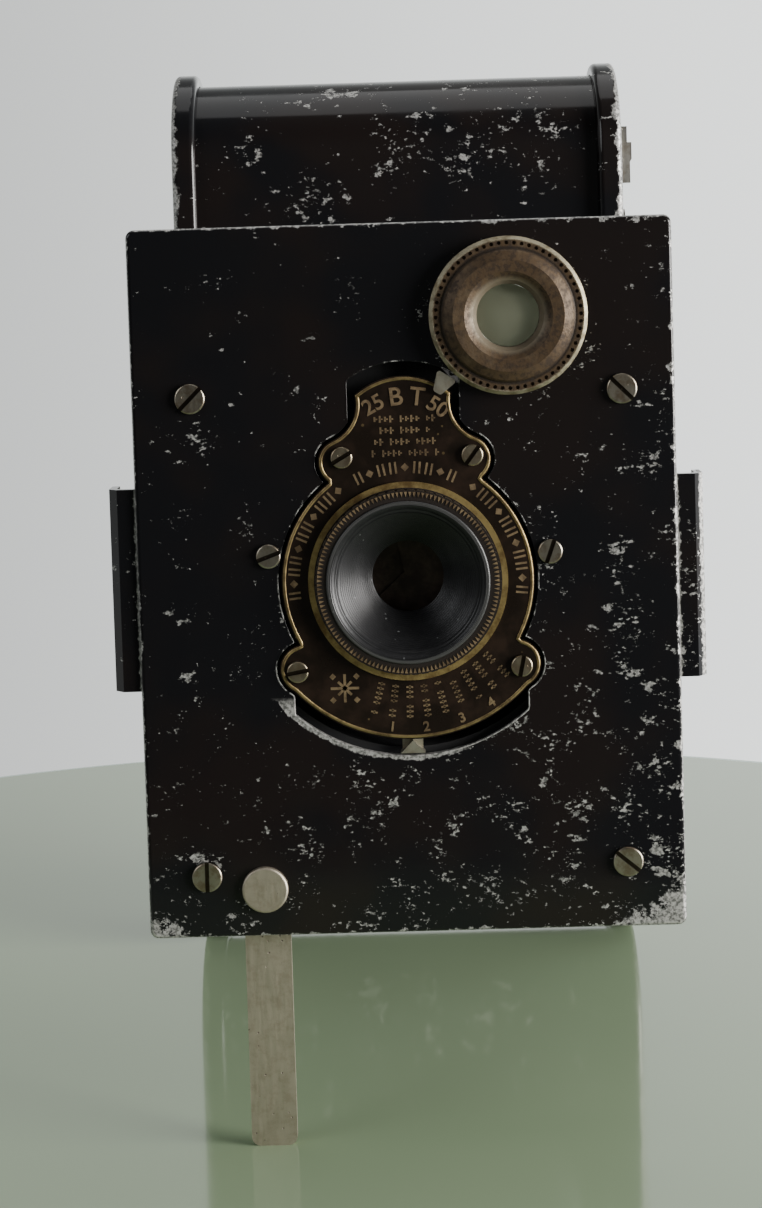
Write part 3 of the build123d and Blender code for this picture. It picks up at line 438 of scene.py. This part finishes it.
MATERIALS = {
    "plate_enamel": (plate_enamel(), ["front_plate"]),
    "tube_enamel": (tube_enamel(), ["body_tube"]),
    "cap_enamel": (cap_enamel(), ["left_side_cap", "side_cover"]),
    "inner_black": (matt_black("inner_black"), [
        "camera_box", "film_gate", "front_standard", "shutter_housing", "blade_plate", "bellows_front_frame",
        "bellows_rear_frame", "finder_housing", "lens_cell", "lens_retaining_ring", "red_window_rim"]),
    "plate_screw_nickel": (nickel("plate_screw_nickel", (0.44, 0.40, 0.32), 0.8, 0.30, -0.40), [
        "plate_screws"]),
    "face_screw_nickel": (nickel("face_screw_nickel", (0.36, 0.31, 0.22), 0.85, 0.34, -0.60), [
        "faceplate_screws"]),
    "foot_nickel": (nickel("foot_nickel", (0.51, 0.46, 0.37), 0.30, 0.48), ["foot", "foot_rivet"]),
    "lever_nickel": (nickel("lever_nickel", (0.44, 0.42, 0.34), 0.4, 0.42), [
        "speed_lever", "aperture_lever"]),
    "key_nickel": (nickel("key_nickel", (0.52, 0.50, 0.46), 0.5, 0.34), [
        "winding_key", "key_spindle", "cover_catch", "catch_guides", "spool_pins"]),
    "tong_steel": (tong_steel(), [
        "rear_outer_links", "rear_inner_links", "front_inner_links", "front_outer_links", "rear_outer_rivets",
        "rear_inner_pins", "front_inner_rivets", "front_outer_pins", "body_link_pivots", "front_link_pivots",
        "body_tong_brackets", "front_tong_brackets", "pressure_plate", "upper_guide_roller",
        "lower_guide_roller"]),
    "face_lacquer": (face_lacquer(), ["faceplate"]),
    "ring_lacquer": (ring_lacquer(), ["knurled_ring"]),
    "hood_black": (hood_black(), ["lens_hood"]),
    "finder_bronze": (finder_bronze(), ["finder_bezel"]),
    "blade_steel": (blade_steel(), [
        "shutter_blade_1", "shutter_blade_2", "shutter_blade_3", "stop_wheel", "release_lever",
        "release_spring"]),
    "lens_glass": (glass("lens_glass", (0.92, 0.95, 0.93)), ["front_lens", "rear_lens", "finder_view_lens"]),
    "finder_glass": (glass("finder_glass", (0.21, 0.215, 0.155), 0.10, 0.5), ["finder_objective"]),
    "mirror_silver": (mirror_silver(), ["finder_mirror"]),
    "red_celluloid": (red_celluloid(), ["red_window"]),
    "spool_black": (matt_black("spool_black", (0.02, 0.02, 0.02), 0.4), ["take_up_spool", "supply_spool"]),
}
GILT = gilt("gilt_lines", (0.38, 0.285, 0.13), (0.17, 0.12, 0.06), 0.42)
DULL_GILT = gilt("dull_gilt", (0.40, 0.29, 0.17), (0.20, 0.14, 0.085), 0.45)
WORN = worn_edge()


def paint(piece, material):
    piece.data.materials.clear()
    piece.data.materials.append(material)


def paint_frame():
    for material, nodes in MATERIALS.values():
        for node in nodes:
            paint(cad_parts[node], material)


# ---- mesh helpers --------------------------------------------------------------------
def piece_from(name, verts, faces, material, body, smooth=False):
    """A mesh piece from its corners in metres, painted and riding on a body."""
    mesh = bpy.data.meshes.new(name)
    mesh.from_pydata([tuple(v) for v in verts], [], faces)
    mesh.validate()
    mesh.update()
    piece = bpy.data.objects.new(name, mesh)
    bpy.context.scene.collection.objects.link(piece)
    if smooth:
        mesh.shade_smooth()
    paint(piece, material)
    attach(piece, body)
    return piece


def flat_loops(node, y):
    """Closed outlines of a node's flat front face at that Y, each a list of (x, z)."""
    work = bmesh.new()
    work.from_mesh(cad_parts[node].data)
    bmesh.ops.remove_doubles(work, verts=work.verts, dist=0.2e-6)
    near = 2e-6
    steps = {}
    for edge in work.edges:
        if any(abs(v.co.y - y) > near for v in edge.verts) or len(edge.link_faces) != 2:
            continue
        facing = [face.normal.y < -0.99 for face in edge.link_faces]
        if facing[0] != facing[1]:
            first, second = edge.verts
            steps.setdefault(first.index, []).append(second.index)
            steps.setdefault(second.index, []).append(first.index)
    work.verts.ensure_lookup_table()
    loops = []
    left = set(steps)
    while left:
        start = min(left)
        loop = [start]
        left.discard(start)
        while True:
            onward = [index for index in steps[loop[-1]] if index in left]
            if not onward:
                break
            loop.append(onward[0])
            left.discard(onward[0])
        loops.append([(work.verts[index].co.x, work.verts[index].co.z) for index in loop])
    work.free()
    return sorted(loops, key=span, reverse=True)


def span(loop):
    xs = [x for x, _ in loop]
    return max(xs) - min(xs)


def even(loop, step):
    """The closed outline again with points evenly spaced along it."""
    closed = loop + loop[:1]
    lengths = [hypot(b[0] - a[0], b[1] - a[1]) for a, b in zip(closed, closed[1:])]
    total = sum(lengths)
    count = max(8, int(total / step))
    points = []
    index = 0
    passed = 0.0
    for number in range(count):
        target = total * number / count
        while passed + lengths[index] < target:
            passed += lengths[index]
            index += 1
        share = (target - passed) / lengths[index]
        a, b = closed[index], closed[index + 1]
        points.append((a[0] + (b[0] - a[0]) * share, a[1] + (b[1] - a[1]) * share))
    return points


def inset(loop, distance):
    """Each point moved this far towards the outline's inside."""
    area = sum(a[0] * b[1] - b[0] * a[1] for a, b in zip(loop, loop[1:] + loop[:1]))
    side = 1 if area > 0 else -1
    moved = []
    for before, here, after in zip(loop[-1:] + loop[:-1], loop, loop[1:] + loop[:1]):
        along = Vector((after[0] - before[0], after[1] - before[1])).normalized()
        moved.append((here[0] - side * along.y * distance, here[1] + side * along.x * distance))
    return moved


def ribbon(name, loop, profile, y, material, body):
    """A closed moulding along an outline. The profile lists (inset, rise towards the viewer) in metres."""
    rings = [inset(loop, shift) for shift, _ in profile]
    verts = [(x, y - rise, z) for ring, (_, rise) in zip(rings, profile) for x, z in ring]
    count = len(loop)
    faces = []
    for row in range(len(profile) - 1):
        for index in range(count):
            following = (index + 1) % count
            faces.append((row * count + index, row * count + following,
                          (row + 1) * count + following, (row + 1) * count + index))
    piece = piece_from(name, verts, faces, material, body, smooth=True)
    outward(piece)
    return piece


def outward(piece):
    work = bmesh.new()
    work.from_mesh(piece.data)
    bmesh.ops.recalc_face_normals(work, faces=work.faces)
    if sum(face.normal.y * face.calc_area() for face in work.faces) > 0:
        bmesh.ops.reverse_faces(work, faces=work.faces)
    work.to_mesh(piece.data)
    work.free()


def raised(name, outlines, y, rise, material, body):
    """Small flat shapes that stand on a face, each from a list of (x, z) in metres."""
    verts = []
    faces = []
    for outline in outlines:
        base = len(verts)
        count = len(outline)
        verts += [(x, y, z) for x, z in outline]
        verts += [(x, y - rise, z) for x, z in outline]
        faces.append(tuple(base + count + index for index in range(count)))
        for index in range(count):
            following = (index + 1) % count
            faces.append((base + index, base + following, base + count + following, base + count + index))
    piece = piece_from(name, verts, faces, material, body)
    outward(piece)
    return piece


def polar(radius, angle):
    """(x, z) at this distance in millimetres from the optical axis and this clockwise angle from upright."""
    return (radius * sin(radians(angle)) * MM, LENS_Z + radius * cos(radians(angle)) * MM)


# ---- shutter face --------------------------------------------------------------------
def make_face_lines():
    face = even(flat_loops("faceplate", FACE_Y)[0], 0.25 * MM)
    lift = 0.06 * MM
    border = [(0.12 * MM, 0), (0.17 * MM, lift), (0.40 * MM, lift), (0.45 * MM, 0)]
    ribbon("face_border", face, border, FACE_Y, GILT, "front_board")
    # The plate's wide openings are the shutter's cut-out and the finder's hole. The cut-out is the wider.
    openings = [loop for loop in flat_loops("front_plate", PLATE_Y) if span(loop) < 40 * MM]
    cutout = even(openings[0], 0.3 * MM)
    lip = [(-0.14 * MM, 0.002 * MM), (-0.05 * MM, 0.035 * MM), (0.01 * MM, -0.03 * MM),
           (0.01 * MM, -0.35 * MM)]
    ribbon("cutout_worn_edge", cutout, lip, PLATE_Y, WORN, "front_board")


def box_outline(middle, width, height, turn=0.0):
    """A rectangle in millimetres from the optical axis, turned clockwise by this many degrees."""
    c, s = cos(radians(turn)), sin(radians(turn))
    corners = [(-width / 2, -height / 2), (width / 2, -height / 2), (width / 2, height / 2),
               (-width / 2, height / 2)]
    return [((middle[0] + x * c + y * s) * MM, LENS_Z + (middle[1] - x * s + y * c) * MM)
            for x, y in corners]


def make_ring_teeth():
    """Fine pointed teeth round the front of the ring."""
    count = 132
    teeth = []
    for index in range(count):
        angle = 360 * index / count
        teeth.append([polar(9.0, angle), polar(9.55, angle - 0.95), polar(9.55, angle + 0.95)])
    ring_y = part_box("knurled_ring")[0].y
    raised("ring_teeth", teeth, ring_y, 0.07 * MM, DULL_GILT, "front_board")


def make_ornament():
    """Plain engraved-style pattern in place of lettering: lozenges, bars and ticks."""
    shapes = []
    # Band over the lens: bars and lozenges by turns.
    count = 33
    for index in range(count):
        angle = -96 + 192 * index / (count - 1)
        place = (12.0 * sin(radians(angle)), 12.0 * cos(radians(angle)))
        if abs(place[0]) > 5.2 and abs(place[1] - 10.9) < 1.1:
            continue
        if index % 3 == 1:
            shapes.append(box_outline(place, 0.62, 0.62, angle + 45))
        else:
            for shift in (-0.28, 0.28):
                side = (place[0] + shift * cos(radians(angle)), place[1] - shift * sin(radians(angle)))
                shapes.append(box_outline(side, 0.22, 1.25, angle))
    # Top lobe: rows of ticks between the narrow sides.
    for row, (up, half) in enumerate(((17.1, 3.3), (15.9, 2.7), (14.7, 3.3), (13.5, 3.6))):
        ticks = int(2 * half / 0.52)
        for index in range(ticks):
            right = -half + 2 * half * (index + 0.5) / ticks
            if (index + row) % 5 != 4:
                shapes.append(box_outline((right, up), 0.2, 0.72 if (index + row) % 2 else 0.5))
                shapes.append(box_outline((right + 0.16, up), 0.3, 0.14))
    # Below the lens: a fan of radial bars beside the aperture numbers.
    for index in range(9):
        angle = 180 - (-16 + 7.6 * index)
        for step in range(7):
            reach = 11.25 + 0.52 * step
            place = (reach * sin(radians(angle)), reach * cos(radians(angle)))
            if (step + index) % 6 != 5:
                shapes.append(box_outline(place, 0.72, 0.18, angle))
                shapes.append(box_outline(place, 0.18, 0.34, angle))
    # Lower left: a small eight-pointed star with four lozenges.
    centre = (-7.0, -11.2)
    for turn in (0, 45, 90, 135):
        shapes.append(box_outline(centre, 0.28, 3.0 if turn % 90 == 0 else 2.0, turn))
    for side in (-1, 1):
        for end in (-1, 1):
            shapes.append(box_outline((centre[0] + side * 1.25, centre[1] + end * 1.25), 0.5, 0.5, 45))
    raised("face_ornament", shapes, FACE_Y, 0.03 * MM, DULL_GILT, "front_board")


def make_numbers():
    """Generic dial marks: exposure times above the lens and stop numbers below it."""
    places = [("25", -3.1, 18.6, 27, 2.3), ("B", -0.75, 19.35, 6, 2.7), ("T", 1.5, 19.3, -8, 2.7),
              ("50", 3.6, 18.2, -34, 2.3)]
    for number, angle in (("1", -7.7), ("2", 5.5), ("3", 19.8), ("4", 32.6)):
        places.append((number, 15.6 * sin(radians(angle)), -15.6 * cos(radians(angle)), angle, 1.45))
    for words, right, up, turn, size in places:
        curve = bpy.data.curves.new("dial_text", "FONT")
        curve.body = words
        curve.size = size * MM
        curve.extrude = 0.03 * MM
        curve.offset = 0.035 * MM
        curve.align_x = "CENTER"
        curve.align_y = "CENTER"
        text = bpy.data.objects.new("dial_text", curve)
        bpy.context.scene.collection.objects.link(text)
        upright = Euler((pi / 2, 0, 0)).to_matrix()
        text.rotation_euler = (upright @ Euler((0, 0, radians(turn))).to_matrix()).to_euler()
        text.location = (right * MM, FACE_Y - 0.03 * MM, LENS_Z + up * MM)
        bpy.context.view_layer.update()
        mesh = bpy.data.meshes.new_from_object(text.evaluated_get(bpy.context.evaluated_depsgraph_get()))
        mesh.transform(text.matrix_world)
        bpy.data.objects.remove(text)
        piece = bpy.data.objects.new("dial_mark_" + words, mesh)
        bpy.context.scene.collection.objects.link(piece)
        paint(piece, DULL_GILT)
        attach(piece, "front_board")


def make_grooved_hood():
    """The lens hood with the lathe's fine grooves down its cone."""
    mouth, throat = 7.3, 3.8
    front = (HOOD_LOW.y - PLATE_Y) / MM
    mouth_depth = front + 0.6
    cone_depth = 3.5 - mouth_depth
    grooves = 40
    profile = [(9.25, 5.0), (9.25, -0.2), (8.6, -0.2), (8.6, front + 0.12), (8.48, front), (8.15, front),
               (7.95, front + 0.1), (7.7, front + 0.35), (7.45, front + 0.45)]
    for step in range(grooves + 1):
        share = step / grooves
        profile.append((mouth + (throat - mouth) * share, mouth_depth + cone_depth * share))
        if step < grooves:
            share += 0.5 / grooves
            profile.append((mouth + (throat - mouth) * share + 0.02, mouth_depth + 0.02 + cone_depth * share))
    profile += [(3.8, 4.0), (4.4, 4.9), (4.4, 5.0)]
    count = 144
    verts = []
    for radius, depth in profile:
        for index in range(count):
            turn = tau * index / count
            verts.append((radius * cos(turn) * MM, PLATE_Y + depth * MM, LENS_Z + radius * sin(turn) * MM))
    faces = []
    rows = len(profile)
    for row in range(rows):
        following_row = (row + 1) % rows
        for index in range(count):
            following = (index + 1) % count
            faces.append((row * count + index, row * count + following,
                          following_row * count + following, following_row * count + index))
    hood = piece_from("grooved_hood", verts, faces, MATERIALS["hood_black"][0], "front_board")
    work = bmesh.new()
    work.from_mesh(hood.data)
    bmesh.ops.recalc_face_normals(work, faces=work.faces)
    work.to_mesh(hood.data)
    work.free()
    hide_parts("lens_hood")


# ---- bellows -------------------------------------------------------------------------
def make_bellows():
    """Pleated leather bellows between its two frames, with mitred corners."""
    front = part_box("bellows_front_frame")[1].y + 0.35 * MM
    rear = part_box("bellows_rear_frame")[0].y
    front_low, front_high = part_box("bellows_front_frame")
    rear_low, rear_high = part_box("bellows")
    folds = 17
    rings = []
    for index in range(2 * folds + 1):
        share = index / (2 * folds)
        half_width = front_high.x + (rear_high.x - front_high.x) * share - 0.6 * MM
        half_height = (front_high.z - front_low.z) / 2 * (1 - share)
        half_height += (rear_high.z - rear_low.z) / 2 * share - 0.6 * MM
        crest = index % 2 == 1
        shift = (0.75 if crest else -0.9) * MM
        cut = (3.4 if crest else 1.3) * MM
        w, h = half_width + shift, half_height + shift
        corners = [(w - cut, h), (-w + cut, h), (-w, h - cut), (-w, -h + cut),
                   (-w + cut, -h), (w - cut, -h), (w, -h + cut), (w, h - cut)]
        y = front + (rear - front) * share
        rings.append([(x, y, LENS_Z + z) for x, z in corners])
    verts = [corner for ring in rings for corner in ring]
    faces = []
    for row in range(len(rings) - 1):
        for index in range(8):
            following = (index + 1) % 8
            faces.append((row * 8 + index, (row + 1) * 8 + index,
                          (row + 1) * 8 + following, row * 8 + following))
    piece = piece_from("pleated_bellows", verts, faces, bellows_leather(), "body_case")
    crease = piece.modifiers.new("soft_folds", "BEVEL")
    crease.width = 0.28 * MM
    crease.segments = 2
    crease.limit_method = "ANGLE"
    crease.angle_limit = radians(18)
    thick = piece.modifiers.new("leather", "SOLIDIFY")
    thick.thickness = 0.3 * MM
    thick.offset = -1
    apply_modifiers(piece)
    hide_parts("bellows")
    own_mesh(piece)


def apply_modifiers(piece):
    bpy.context.view_layer.update()
    evaluated = piece.evaluated_get(bpy.context.evaluated_depsgraph_get())
    mesh = bpy.data.meshes.new_from_object(evaluated)
    piece.modifiers.clear()
    piece.data = mesh


# ---- stage, light and camera ---------------------------------------------------------
def table_disc(name, radius, top, material):
    """One round layer of the table. Its middle is a little left of the object's."""
    count = 160
    thickness = 0.008
    verts = [(radius * cos(tau * i / count) - 0.012, radius * sin(tau * i / count), z)
             for z in (top, top - thickness) for i in range(count)]
    faces = [tuple(range(count)), tuple(reversed(range(count, 2 * count)))]
    faces += [(i, i + count, (i + 1) % count + count, (i + 1) % count) for i in range(count)]
    mesh = bpy.data.meshes.new(name)
    mesh.from_pydata(verts, [], faces)
    disc = bpy.data.objects.new(name, mesh)
    bpy.context.scene.collection.objects.link(disc)
    mesh.materials.append(material)


def make_stage():
    shader = Shader("pale_table")
    tone = shader.noise(60.0, 2.0, 0.5, 2.0)
    base = shader.colour((0.245, 0.325, 0.195), (0.275, 0.355, 0.225), tone)
    shader.surface.inputs["IOR"].default_value = 1.55
    material = shader.finish(base, 0.0, 0.07)
    table_disc("table_top", 0.150, 0.0, material)
    rim = Shader("pale_table_edge")
    cloudy = rim.noise(30.0, 2.0, 0.5, 4.0)
    edge_colour = rim.colour((0.46, 0.62, 0.52), (0.52, 0.68, 0.58), cloudy)
    table_disc("table_edge", 0.156, -0.0012, rim.finish(edge_colour, 0.0, 0.2))

    world = bpy.data.worlds.new("studio")
    bpy.context.scene.world = world
    world.use_nodes = True
    # Soft light: pale behind the object, brighter to the right, darker on the camera's side and overhead.
    nodes, links = world.node_tree.nodes, world.node_tree.links
    direction = nodes.new("ShaderNodeTexCoord")
    split = nodes.new("ShaderNodeSeparateXYZ")
    links.new(direction.outputs["Generated"], split.inputs[0])
    strength = None
    for axis, start, end, low, high in (("Y", -0.75, 0.55, 0.07, 1.25), ("X", -0.3, 0.3, 0.64, 1.55),
                                        ("Z", 0.25, 0.75, 1.0, 0.3)):
        ramp = nodes.new("ShaderNodeMapRange")
        ramp.interpolation_type = "SMOOTHSTEP"
        for name, number in (("From Min", start), ("From Max", end), ("To Min", low), ("To Max", high)):
            ramp.inputs[name].default_value = number
        links.new(split.outputs[axis], ramp.inputs["Value"])
        if strength is None:
            strength = ramp.outputs[0]
        else:
            product = nodes.new("ShaderNodeMath")
            product.operation = "MULTIPLY"
            links.new(strength, product.inputs[0])
            links.new(ramp.outputs[0], product.inputs[1])
            strength = product.outputs[0]
    links.new(strength, nodes["Background"].inputs["Strength"])
    nodes["Background"].inputs["Color"].default_value = (0.96, 0.99, 0.98, 1.0)


def area_light(name, place, target, size, power, colour=(1, 1, 1)):
    light = bpy.data.lights.new(name, "AREA")
    light.shape = "DISK"
    light.size = size
    light.energy = power
    light.color = colour
    lamp = bpy.data.objects.new(name, light)
    bpy.context.scene.collection.objects.link(lamp)
    lamp.location = place
    lamp.rotation_euler = (Vector(target) - Vector(place)).to_track_quat("-Z", "Y").to_euler()


def make_lights():
    middle = (0, -0.02, 0.06)
    area_light("window", (0.75, -0.33, 0.16), middle, 0.5, 17.0, (1.0, 0.98, 0.95))
    area_light("fill", (-0.8, -0.6, 0.5), middle, 0.6, 2.6, (0.95, 0.97, 1.0))
    area_light("top", (0.0, 0.1, 0.9), middle, 0.7, 1.5)


def make_camera():
    """A 68 mm lens just above the finder, dipped and rolled slightly."""
    data = bpy.data.cameras.new("camera")
    camera = bpy.data.objects.new("camera", data)
    bpy.context.scene.collection.objects.link(camera)
    data.lens = 68.29
    data.sensor_width = 36.0
    data.shift_y = -0.18
    data.clip_start = 0.01
    data.clip_end = 20.0
    turn = Matrix.Rotation(radians(0.636), 3, "Z")
    level = Matrix.Rotation(radians(90 - 3.438), 3, "X")
    roll = Matrix.Rotation(radians(-1.734), 3, "Z")
    camera.location = (0.42 * MM, -284.66 * MM, 95.89 * MM)
    camera.rotation_euler = (turn @ level @ roll).to_euler()
    bpy.context.scene.camera = camera


make_camera()
make_stage()
make_lights()
paint_frame()
make_face_lines()
make_ring_teeth()
make_ornament()
make_numbers()
make_grooved_hood()
make_bellows()
